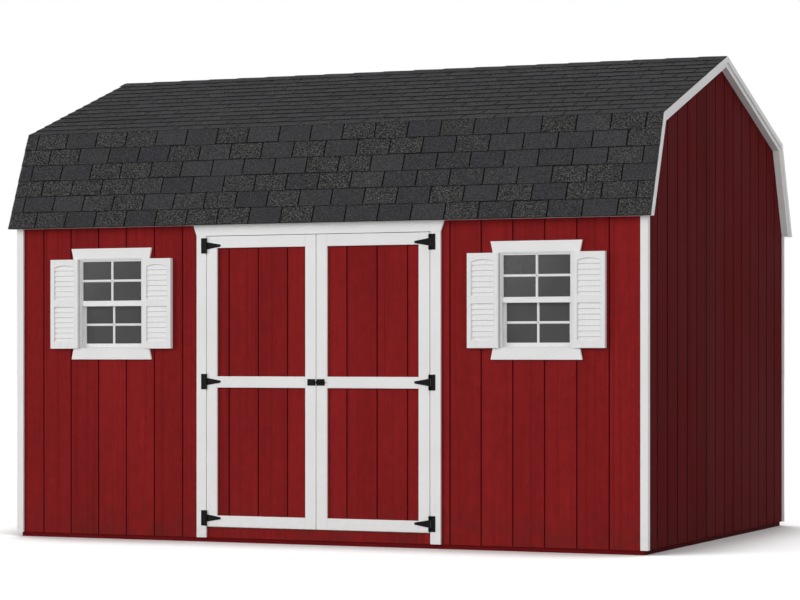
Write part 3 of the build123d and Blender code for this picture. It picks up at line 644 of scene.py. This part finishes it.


# A sheet over a grid of columns u and rows v. The height of a point is bottom + v (top(u) - bottom). The outer
# face lies the thickness out from the inner one, less the depth of a groove, which is trapezoid in u.
# Cells inside a hole are left out, and every edge between a cell and none is closed by a face. The painted shade
# of a groove, kept in the groove attribute, fades out over a width beside it.
def groovedSheet(
    name, span, bottom, top, grooves, origin, across, outward, body, replaced, material, hole=None, bends=(),
    fade=siding["fade"],
):
    half, floorHalf = siding["grooveTop"] / 2, siding["grooveFloor"] / 2
    first, last = span[0] + siding["endMargin"], span[1] - siding["endMargin"]
    inside = np.array([groove for groove in grooves if first < groove < last])
    marks = [*span, *bends]
    for reach in (half + fade, half, floorHalf):
        marks += [*(inside - reach), *(inside + reach)]
    levels = [0.0, 1.0]
    if hole is not None:
        left, right, foot, head = hole
        height = top(0) - bottom
        marks += [left, right]
        levels += [(foot - bottom) / height, (head - bottom) / height]
    u = np.unique(np.round([mark for mark in marks if span[0] <= mark <= span[1]], 6))
    v = np.unique(levels)
    away = np.abs(u[:, None] - inside[None, :]).min(axis=1) if len(inside) else np.full(len(u), np.inf)
    depth = siding["grooveDepth"] * np.clip((half - away) / (half - floorHalf), 0, 1)
    z = bottom + v[None, :] * (np.array([top(value) for value in u])[:, None] - bottom)
    shape = z.shape
    uu = np.broadcast_to(u[:, None], shape)
    origin, across, outward = (np.array(value, float) for value in (origin, across, outward))
    flat = origin + uu[..., None] * across + z[..., None] * np.array([0, 0, 1.0])
    face = flat + (siding["thickness"] - depth)[:, None, None] * outward
    points = np.concatenate([face.reshape(-1, 3), flat.reshape(-1, 3)])
    # Painted shade in a groove and over the fade beside it
    dark = np.clip((half + fade - away) / fade, 0, 1)
    shade = np.concatenate([np.broadcast_to(dark[:, None], shape).ravel(), np.zeros(z.size)])
    solid = np.ones((shape[0] - 1, shape[1] - 1), bool)
    if hole is not None:
        middleU, middleZ = (u[1:] + u[:-1]) / 2, bottom + (v[1:] + v[:-1]) / 2 * height
        inU, inZ = (middleU > left) & (middleU < right), (middleZ > foot) & (middleZ < head)
        solid &= ~(inU[:, None] & inZ[None, :])
    index = np.arange(shape[0] * shape[1]).reshape(shape)
    back = index + index.size
    i, j = np.nonzero(solid)
    outer = np.stack([index[i, j], index[i + 1, j], index[i + 1, j + 1], index[i, j + 1]], 1)
    inner = np.stack([back[i, j], back[i, j + 1], back[i + 1, j + 1], back[i + 1, j]], 1)
    edges = []
    padded = np.pad(solid, 1)
    i, j = np.nonzero(padded[:-1, 1:-1] & ~padded[1:, 1:-1])
    edges.append(np.stack([index[i, j], back[i, j], back[i, j + 1], index[i, j + 1]], 1))
    i, j = np.nonzero(~padded[:-1, 1:-1] & padded[1:, 1:-1])
    edges.append(np.stack([index[i, j], index[i, j + 1], back[i, j + 1], back[i, j]], 1))
    i, j = np.nonzero(padded[1:-1, :-1] & ~padded[1:-1, 1:])
    edges.append(np.stack([index[i, j], index[i + 1, j], back[i + 1, j], back[i, j]], 1))
    i, j = np.nonzero(~padded[1:-1, :-1] & padded[1:-1, 1:])
    edges.append(np.stack([index[i, j], back[i, j], back[i + 1, j], index[i + 1, j]], 1))
    faces = np.concatenate([outer, *edges, inner])
    used, places = np.unique(faces, return_inverse=True)
    finish = np.zeros(len(faces), int)
    finish[len(faces) - len(inner):] = 1
    piece = addPiece(
        name, points[used], places.reshape(faces.shape), [material, backOfSiding], body,
        finish, replaced,
    )
    attribute = piece.data.attributes.new("groove", "FLOAT", "POINT")
    attribute.data.foreach_set("value", shade[used].astype(np.float32))
    return piece


def flatTop(height):
    return lambda u: height


frontX, backX = (1, 0, 0), (-1, 0, 0)
frontOut, backOut = (0, -1, 0), (0, 1, 0)
frontGrooves = grooveStart["front"] + siding["pitch"] * np.arange(grooveCount["front"])
frameLow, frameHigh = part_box("window_frames")
windowWidth = 0.470
windowOffset = frameHigh.x - windowWidth / 2
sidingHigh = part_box("front_siding_right")[1]
frameY = sidingHigh.y
wallTop = flatTop(sidingHigh.z)

for side, name in ((-1, "front_siding_left"), (1, "front_siding_right")):
    low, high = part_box(name)
    centre = side * windowOffset
    hole = (centre - windowWidth / 2, centre + windowWidth / 2, frameLow.z, frameHigh.z)
    groovedSheet(
        name.replace("front_siding", "front_boards"), (low.x, high.x), low.z, wallTop, frontGrooves,
        (0, frameY, 0), frontX, frontOut, "shed", (name,), redFront, hole,
    )

# The strip below the doors is plain and the one above them grooved
strips = {"lowerTop": 0.092, "upperBottom": 1.932}
stripLow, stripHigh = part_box("door_siding_strips")
stripSpan = (stripLow.x, stripHigh.x)
groovedSheet(
    "door_strip_boards", stripSpan, stripLow.z, flatTop(strips["lowerTop"]), (), (0, frameY, 0),
    frontX, frontOut, "shed", ("door_siding_strips",), redFront,
)
groovedSheet(
    "door_head_boards", stripSpan, strips["upperBottom"], wallTop, frontGrooves, (0, frameY, 0),
    frontX, frontOut, "shed", (), redFront,
)
backLow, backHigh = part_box("back_siding")
groovedSheet(
    "back_boards", (-backHigh.x, -backLow.x), backLow.z, wallTop, frontGrooves + backShift, (0, -frameY, 0),
    backX, backOut, "shed", ("back_siding",), redFront,
)
leafGrooves = siding["pitch"] * np.arange(-3, 4)
for body in ("door_left", "door_right"):
    low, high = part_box(body + "_panel")
    groovedSheet(
        body + "_boards", (low.x, high.x), low.z, flatTop(high.z), leafGrooves, (0, high.y, 0),
        frontX, frontOut, body, (body + "_panel",), redLeaf,
    )


# Height of a gambrel line a given depth under the roof's outer surface, the lower of its two slopes
def gambrelHeight(u, depth):
    upper = roofForm["ridgeHeight"] - abs(u) * math.tan(upperPitch) - depth / math.cos(upperPitch)
    reach = (abs(u) - roofForm["kneeHalf"]) * math.tan(lowerPitch)
    return min(upper, roofForm["kneeHeight"] - depth / math.cos(lowerPitch) - reach)


def gableTop(u):
    return gambrelHeight(u, roofForm["deckBase"])


# A gable's sides bend where the lines under its two slopes cross
slopeChange = math.tan(lowerPitch) - math.tan(upperPitch)
depthChange = roofForm["deckBase"] * (1 / math.cos(lowerPitch) - 1 / math.cos(upperPitch))
kneeAt = roofForm["kneeHalf"] - depthChange / slopeChange
sideGrooves = grooveStart["side"] + siding["pitch"] * np.arange(grooveCount["side"])
for name, sign in (("left_siding", -1), ("right_siding", 1)):
    low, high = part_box(name)
    inner = sign * min(abs(low.x), abs(high.x))
    groovedSheet(
        name.replace("siding", "boards"), (low.y, high.y), low.z, gableTop, sign * sideGrooves, (inner, 0, 0),
        (0, sign, 0), (sign, 0, 0), "shed", (name,), redSide, bends=(-kneeAt, 0, kneeAt), fade=siding["sideFade"],
    )
print("grooved siding made")


# Shingle tabs in courses, each a thin wedge whose butt lies on the course below
tabs = {
    "width": 0.22, "slot": 0.009, "narrowest": 0.02, "courses": (6, 13), "cover": 1.12, "butt": 0.0076,
    "tail": 0.0033, "thickness": 0.003, "curl": 0.0012, "seed": 7, "firstShift": 0.1, "oddShift": 0.5,
    "shiftSwing": 0.006, "buttSwing": 0.003, "columns": 3, "rows": (0, 0.03, 0.4, 0.86, 0.885, 1),
    "lines": (1, 0, 0, 0, 1, 1), "lineShare": (0.35, 1),
}


# Closed slabs on one grid each: two parameters a, b run 0 to 1 over a slab. top and under are arrays of points
# (slab, a, b, xyz), and the faces join them and close the rim.
def slabFaces(count, columns, rows):
    index = np.arange(columns * rows).reshape(columns, rows)
    under = index + columns * rows
    top = np.stack([index[:-1, :-1], index[1:, :-1], index[1:, 1:], index[:-1, 1:]], -1).reshape(-1, 4)
    bottom = np.stack([under[:-1, :-1], under[:-1, 1:], under[1:, 1:], under[1:, :-1]], -1).reshape(-1, 4)
    rim = np.concatenate([index[:, 0], index[-1, 1:], index[-2::-1, -1], index[0, -2:0:-1]])
    rimNext, below = np.roll(rim, -1), columns * rows
    sides = np.stack([rim, rim + below, rimNext + below, rimNext], 1)
    one = np.concatenate([top, bottom, sides])
    return (one[None] + (np.arange(count) * 2 * below)[:, None, None]).reshape(-1, 4)


# Where a slope's point is: s metres up the slope from its foot, x along the roof, h above the deck
def slopePoint(foot, direction, x, s, h):
    (y, z), (dy, dz) = foot, direction
    normal = (-dz, dy) if dy > 0 else (dz, -dy)
    rise = h - roofForm["layer"]
    return np.stack([x, y + s * dy + rise * normal[0], z + s * dz + rise * normal[1]], -1)


# The tabs of one slope: x runs along a tab, s up it, and its height over the deck falls in a straight line from
# the butt to the tail, with the two corners of the butt curled up by a little
def slopeTabs(rng, foot, crest, courses, lastCourse, footBand, crestBand):
    run = np.array(crest) - np.array(foot)
    length = float(np.hypot(*run))
    direction = tuple(run / length)
    step = length / courses
    roofEnd, width, swing = roofForm["halfLength"], tabs["width"], tabs["shiftSwing"]
    starts, ends, butts = [], [], []
    for course in range(lastCourse):
        offset = width * (tabs["oddShift"] * (course % 2) + tabs["firstShift"]) + rng.uniform(-swing, swing)
        cuts = np.arange(-roofEnd - offset, roofEnd + width, width)
        low = np.clip(cuts[:-1] + tabs["slot"] / 2, -roofEnd, None)
        high = np.clip(cuts[1:] - tabs["slot"] / 2, None, roofEnd)
        real = high - low > tabs["narrowest"]
        starts.append(low[real])
        ends.append(high[real])
        butts.append(np.full(real.sum(), course * step))
    start, end, butt = (np.concatenate(part) for part in (starts, ends, butts))
    count, columns, rows = len(start), tabs["columns"], len(tabs["rows"])
    jitter = rng.uniform(-tabs["buttSwing"], tabs["buttSwing"], count) * (butt > 0)
    a, b = np.meshgrid(np.linspace(0, 1, columns), tabs["rows"], indexing="ij")
    x = start[:, None, None] + a * (end - start)[:, None, None]
    reach = np.minimum(butt + tabs["cover"] * step, length) - butt
    s = (butt + jitter)[:, None, None] + b * (reach - jitter)[:, None, None]
    curl = rng.uniform(0, tabs["curl"], count)[:, None, None] * (2 * a - 1) ** 2 * (1 - b) ** 2
    h = tabs["butt"] + (tabs["tail"] - tabs["butt"]) * b + curl
    top = slopePoint(foot, direction, x, s, h)
    under = slopePoint(foot, direction, x, s, h - tabs["thickness"])
    points = np.stack([top, under], 1).reshape(-1, 3)
    faces = slabFaces(count, columns, rows)
    tone = np.repeat(rng.uniform(0, 1, (count, 2)), 2 * columns * rows, axis=0)
    # Dark bands at and just under each butt: partly the butt's own darker edge, partly painted shade
    line = np.tile(np.array(tabs["lines"], float), (count, 1))
    line *= rng.uniform(*tabs["lineShare"], (count, 1))
    line[:, :2] *= np.where(butt > 0, 1.0, footBand)[:, None]
    line[:, 3:] *= np.where(butt > (courses - 1.5) * step, crestBand, 1.0)[:, None]
    line = np.repeat(line, 2 * columns, axis=0).ravel()
    return points, faces, np.column_stack([tone, line])


# A thin sheet under the tabs of a slope, so that no deck shows in the slots. Its faces lie at these heights over
# the deck, and its tone is in full painted shade, so the slots show dark
underlay = {"top": 0.0002, "base": -0.001, "tone": (0.0, 0.5, 1.0)}


def underSheet(foot, crest):
    run = np.array(crest) - np.array(foot)
    length = float(np.hypot(*run))
    a, b = np.meshgrid([-roofForm["halfLength"], roofForm["halfLength"]], [0.0, length], indexing="ij")
    top, under = (
        slopePoint(foot, tuple(run / length), a, b, np.full(a.shape, underlay[key])) for key in ("top", "base")
    )
    points = np.stack([top, under]).reshape(-1, 3)
    return points, slabFaces(1, 2, 2), np.tile(underlay["tone"], (len(points), 1))


def joinedArrays(parts):
    shift, points, faces, tones = 0, [], [], []
    for part in parts:
        points.append(part[0])
        faces.append(part[1] + shift)
        tones.append(part[2])
        shift += len(part[0])
    return np.concatenate(points), np.concatenate(faces), np.concatenate(tones)


# On the back slopes y is mirrored, so each face is turned round to point outwards again
def shingledSide(name, sign, replaced, seed):
    rng = np.random.default_rng(seed)
    drip = roofForm["drip"]
    eave = (-roofForm["eaveHalf"] - drip / math.tan(lowerPitch), roofForm["eaveHeight"] - drip)
    knee = (-roofForm["kneeHalf"], roofForm["kneeHeight"])
    ridge = (0.0, roofForm["ridgeHeight"])
    points, faces, tones = joinedArrays([
        slopeTabs(rng, eave, knee, tabs["courses"][0], tabs["courses"][0], 0.5, 0.0),
        slopeTabs(rng, knee, ridge, tabs["courses"][1], tabs["courses"][1] - 1, 0.0, 1.0),
        underSheet(eave, knee),
        underSheet(knee, ridge),
    ])
    if sign > 0:
        points = points * np.array([1, -1, 1])
        faces = faces[:, ::-1]
    storeTone(addPiece(name, points, faces, [shingleTabs], "shed", None, replaced), tones)


def storeTone(piece, tones):
    attribute = piece.data.attributes.new("tabToneAndShade", "FLOAT_VECTOR", "POINT")
    attribute.data.foreach_set("vector", tones.astype(np.float32).ravel())


shingledSide("shingle_tabs_front", -1, ("shingles_front",), tabs["seed"])
shingledSide("shingle_tabs_back", 1, ("shingles_back",), tabs["seed"] + 1)


# Ridge caps take the place of the top course on both slopes. A cap is bent over the ridge: its section is the two
# straight slopes with a small round at the ridge, and along the roof it falls from its butt to its tail. Its butt
# has a dark band, partly its own darker edge and partly painted shade
caps = {
    "columns": 9, "rows": (0.0, 0.04, 1.0), "lines": (1.0, 0.0, 0.0), "cover": 1.12, "reach": 1.02,
    "round": 0.012, "sink": 0.004, "butt": 0.0098, "fall": 0.0035,
}


def ridgeCaps(name):
    rng = np.random.default_rng(tabs["seed"] + 2)
    half = roofForm["kneeHalf"] / math.cos(upperPitch) / tabs["courses"][1]
    cuts = np.arange(-roofForm["halfLength"], roofForm["halfLength"], tabs["width"])
    ends = np.clip(cuts + tabs["width"] * caps["cover"], None, roofForm["halfLength"])
    count, rows, columns = len(cuts), len(caps["rows"]), caps["columns"]
    across = np.linspace(-1, 1, columns) * half * caps["reach"]
    a, b = np.meshgrid(caps["rows"], across, indexing="ij")
    x = cuts[:, None, None] + a * (ends - cuts)[:, None, None]
    y = np.broadcast_to(b * math.cos(upperPitch), x.shape)
    bend = np.sqrt(y ** 2 + caps["round"] ** 2) - caps["sink"]
    lift = caps["butt"] - caps["fall"] * a - roofForm["layer"]
    z = roofForm["ridgeHeight"] - bend * math.tan(upperPitch) + lift / math.cos(upperPitch)
    top = np.stack([x, y, z], -1)
    under = top - np.array([0, 0, tabs["thickness"]])
    points = np.stack([top, under], 1).reshape(-1, 3)
    tone = np.repeat(rng.uniform(0, 1, (count, 2)), 2 * rows * columns, axis=0)
    line = np.tile(np.repeat(caps["lines"], columns), 2 * count)
    piece = addPiece(name, points, slabFaces(count, rows, columns), [shingleTabs], "shed")
    storeTone(piece, np.column_stack([tone, line]))


ridgeCaps("ridge_caps")
print("shingles laid")


# Glazing bars: a chamfered section carried along a straight line through each sash's glass
bars = {"width": 0.0155, "depth": 0.014, "chamfer": 0.0035, "corners": 8, "tuck": 0.004}

# The glass of each sash: its y, foot, head, the height of its level bar and its half width
glassRows = {"upper": (-1.519, 1.5293, 1.7805, 1.6575, 0.2131), "lower": (-1.495, 1.2545, 1.494, 1.3755, 0.2011)}


# A closed bar from start to end. Its section is a rectangle with cut corners in the plane across the bar
def barPoints(start, end, wide):
    start, end, wide = (np.array(value, float) for value in (start, end, wide))
    w, d, c = bars["width"] / 2, bars["depth"] / 2, bars["chamfer"]
    section = np.array([
        (-w, -d + c), (-w + c, -d), (w - c, -d), (w, -d + c), (w, d - c), (w - c, d), (-w + c, d), (-w, d - c),
    ])
    deep = np.cross(end - start, wide)
    deep /= np.linalg.norm(deep)
    offset = section[:, :1] * wide + section[:, 1:] * deep
    return np.concatenate([start + offset, end + offset])


def barFaces(number):
    corners = bars["corners"]
    ring = np.arange(corners)
    after = np.roll(ring, -1)
    shift = 2 * corners * number
    sides = np.stack([ring, after, after + corners, ring + corners], 1) + shift
    return [*sides.tolist(), (ring[::-1] + shift).tolist(), (ring + corners + shift).tolist()]


barRuns = []
for centre in (-windowOffset, windowOffset):
    for y, foot, head, middle, half in glassRows.values():
        left, right = centre - half - bars["tuck"], centre + half + bars["tuck"]
        barRuns.append(barPoints((centre, y, foot - bars["tuck"]), (centre, y, head + bars["tuck"]), (1, 0, 0)))
        barRuns.append(barPoints((left, y, middle), (right, y, middle), (0, 0, 1)))
barShapes = [face for number in range(len(barRuns)) for face in barFaces(number)]
addPiece("glazing_bars", np.concatenate(barRuns), barShapes, [frameWhite], "shed")
print("glazing bars made")


# Screw and nail heads: a low dome, radius times sin and height times cos of one angle, turned by the other. The
# foot lies sunk in the face behind it
screws = {"radius": 0.0038, "height": 0.0016, "sides": 12}
nails = {"radius": 0.0032, "height": 0.0006, "sides": 10}
dome = {"angles": (90, 60, 30, 10), "sink": 0.0008}


def domesOnFront(name, places, form, material, body):
    sides, rings = form["sides"], len(dome["angles"])
    turn = np.arange(sides) * 2 * math.pi / sides
    rise = np.radians(dome["angles"])
    radius = form["radius"] * np.sin(rise)[:, None]
    out = np.repeat((form["height"] * np.cos(rise))[:, None], sides, 1)
    heads = np.stack([radius * np.cos(turn), -out, radius * np.sin(turn)], -1)
    foot = heads[0] + np.array([0, dome["sink"], 0])
    one = np.concatenate([foot[None], heads]).reshape(-1, 3)
    points = (np.array(places)[:, None, :] + one[None]).reshape(-1, 3)
    faces = []
    ring = np.arange(sides)
    after = np.roll(ring, -1)
    for number in range(len(places)):
        shift = number * (rings + 1) * sides
        for level in range(rings):
            low, high = shift + level * sides, shift + (level + 1) * sides
            faces += np.stack([ring + low, after + low, after + high, ring + high], 1).tolist()
        faces += [(ring[::-1] + shift).tolist(), (ring + shift + rings * sides).tolist()]
    return addPiece(name, points, faces, [material], body)


# Screws of the hinge plates, of the straps by their x from the hinge line and z from the strap's middle, and of
# the latch by their x from the leaf's meeting edge and z from the latch's middle
screwPlaces = {
    "face": -1.543, "hingeHeights": (0.152, 1.013, 1.870), "plateX": 0.787, "plateRise": (-0.035, 0.0, 0.035),
    "hingeX": 0.762, "strap": ((0.024, -0.011), (0.024, 0.011), (0.055, 0.0), (0.085, 0.0)),
    "meetingX": 0.0045, "latchHeight": 1.011, "latchX": (0.006, 0.048), "latchRise": (-0.0155, 0.0155),
}
screwFace, latchHeight = screwPlaces["face"], screwPlaces["latchHeight"]
plateScrews = [
    (side * screwPlaces["plateX"], screwFace, z + rise)
    for side in (-1, 1) for z in screwPlaces["hingeHeights"] for rise in screwPlaces["plateRise"]
]
domesOnFront("hinge_plate_screws", plateScrews, screws, iron, "shed")
for side, body in ((-1, "door_left"), (1, "door_right")):
    strapScrews = [
        (side * (screwPlaces["hingeX"] - x), screwFace, z + rise)
        for z in screwPlaces["hingeHeights"] for x, rise in screwPlaces["strap"]
    ]
    latchScrews = [
        (side * (screwPlaces["meetingX"] + x), screwFace, latchHeight + rise)
        for x in screwPlaces["latchX"] for rise in screwPlaces["latchRise"]
    ]
    domesOnFront(body + "_screws", strapScrews + latchScrews, screws, iron, body)

# Nails of each board: the places across and up, or the first, the last and the count of even steps
nailPlaces = {
    "face": -1.54, "cornerX": (2.116, 2.137), "cornerZ": (0.08, 1.94, 6), "jambX": (0.818,),
    "jambZ": (0.09, 1.88, 6), "headX": (-0.8, 0.8, 7), "headZ": (1.948, 1.982), "windowX": (-0.25, 0.0, 0.25),
    "windowZ": (1.187, 1.831), "stileX": (0.04, 0.722), "stileZ": (0.3, 0.6, 1.3, 1.6),
    "railX": (0.15, 0.38, 0.61), "railZ": (0.1335, 1.011, 1.8905),
}


def nailGrid(xs, zs, sides=(1,)):
    return [(side * x, nailPlaces["face"], z) for side in sides for x in xs for z in zs]


cornerNails = nailGrid(nailPlaces["cornerX"], np.linspace(*nailPlaces["cornerZ"]), (-1, 1))
jambNails = nailGrid(nailPlaces["jambX"], np.linspace(*nailPlaces["jambZ"]), (-1, 1))
headNails = nailGrid(np.linspace(*nailPlaces["headX"]), nailPlaces["headZ"])
windowX = [side * windowOffset + x for side in (-1, 1) for x in nailPlaces["windowX"]]
windowNails = nailGrid(windowX, nailPlaces["windowZ"])
domesOnFront(
    "trim_nails", cornerNails + jambNails + headNails + windowNails, nails, whiteUpright, "shed",
)
for side, body in ((-1, "door_left"), (1, "door_right")):
    stileNails = nailGrid(nailPlaces["stileX"], nailPlaces["stileZ"], (side,))
    railNails = nailGrid(nailPlaces["railX"], nailPlaces["railZ"], (side,))
    domesOnFront(body + "_nails", stileNails + railNails, nails, whiteUpright, body)
print("screws and nails set")


# Floor, light and white background
studio = {
    "floorReach": 120, "floorColor": 0.6, "floorGlow": 0.53, "shadeReach": 1.0, "shade": (0.54, 0.82),
    "shadeSamples": 16, "skyLevel": 0.36, "sunWidth": 38.0,
    "suns": {"key": (1.75, -47.0, 13.0), "fill": (1.08, 45.0, 11.0), "rear": (0.7, 195.0, 25.0)},
}


# A factor of 1 for the rays that see the white background: camera, mirror and glass rays
def backgroundRay(tree):
    path = addNode(tree, "LightPath")
    seen = math2(tree, "MAXIMUM", path.outputs["Is Camera Ray"], path.outputs["Is Glossy Ray"])
    return math2(tree, "MAXIMUM", seen, path.outputs["Is Transmission Ray"])


floorMesh = bpy.data.meshes.new("studio_floor")
reach = studio["floorReach"]
floorCorners = [(-reach, -reach, 0), (reach, -reach, 0), (reach, reach, 0), (-reach, reach, 0)]
floorMesh.from_pydata(floorCorners, [], [(0, 1, 2, 3)])
floor = bpy.data.objects.new("studio_floor", floorMesh)
bpy.context.scene.collection.objects.link(floor)
floorMaterial = bpy.data.materials.new("studio_floor")
floorMaterial.use_nodes = True
tree = floorMaterial.node_tree
tree.nodes.clear()
seen = backgroundRay(tree)
color = mixColors(tree, seen, (studio["floorColor"],) * 3, (1.0, 1.0, 1.0))
matt = addNode(tree, "BsdfDiffuse")
tree.links.new(color, matt.inputs["Color"])
glow = addNode(tree, "Emission", {"Color": (1, 1, 1, 1)})
# The floor glows less where the shed shuts out the sky
openSky = addNode(
    tree, "AmbientOcclusion", {"Distance": studio["shadeReach"]}, samples=studio["shadeSamples"],
)
glowShare = spread(tree, openSky.outputs["AO"], *studio["shade"], 0.0, studio["floorGlow"])
tree.links.new(times(tree, seen, glowShare), glow.inputs["Strength"])
both = addNode(tree, "AddShader")
tree.links.new(matt.outputs[0], both.inputs[0])
tree.links.new(glow.outputs[0], both.inputs[1])
output = addNode(tree, "OutputMaterial")
tree.links.new(both.outputs[0], output.inputs["Surface"])
floorMesh.materials.append(floorMaterial)

world = bpy.data.worlds.new("studio_sky")
bpy.context.scene.world = world
world.use_nodes = True
tree = world.node_tree
background = tree.nodes["Background"]
background.inputs["Color"].default_value = (1, 1, 1, 1)
seen = backgroundRay(tree)
level = plus(tree, times(tree, seen, 1 - studio["skyLevel"]), studio["skyLevel"])
tree.links.new(level, background.inputs["Strength"])

for name, (power, turn, height) in studio["suns"].items():  # turn is from straight in front, to the right
    sunData = bpy.data.lights.new(name, "SUN")
    sunData.energy = power
    sunData.angle = math.radians(studio["sunWidth"])
    sun = bpy.data.objects.new(name, sunData)
    sun.rotation_euler = (math.radians(90 - height), 0, math.radians(turn))
    bpy.context.scene.collection.objects.link(sun)
print("floor and light set")
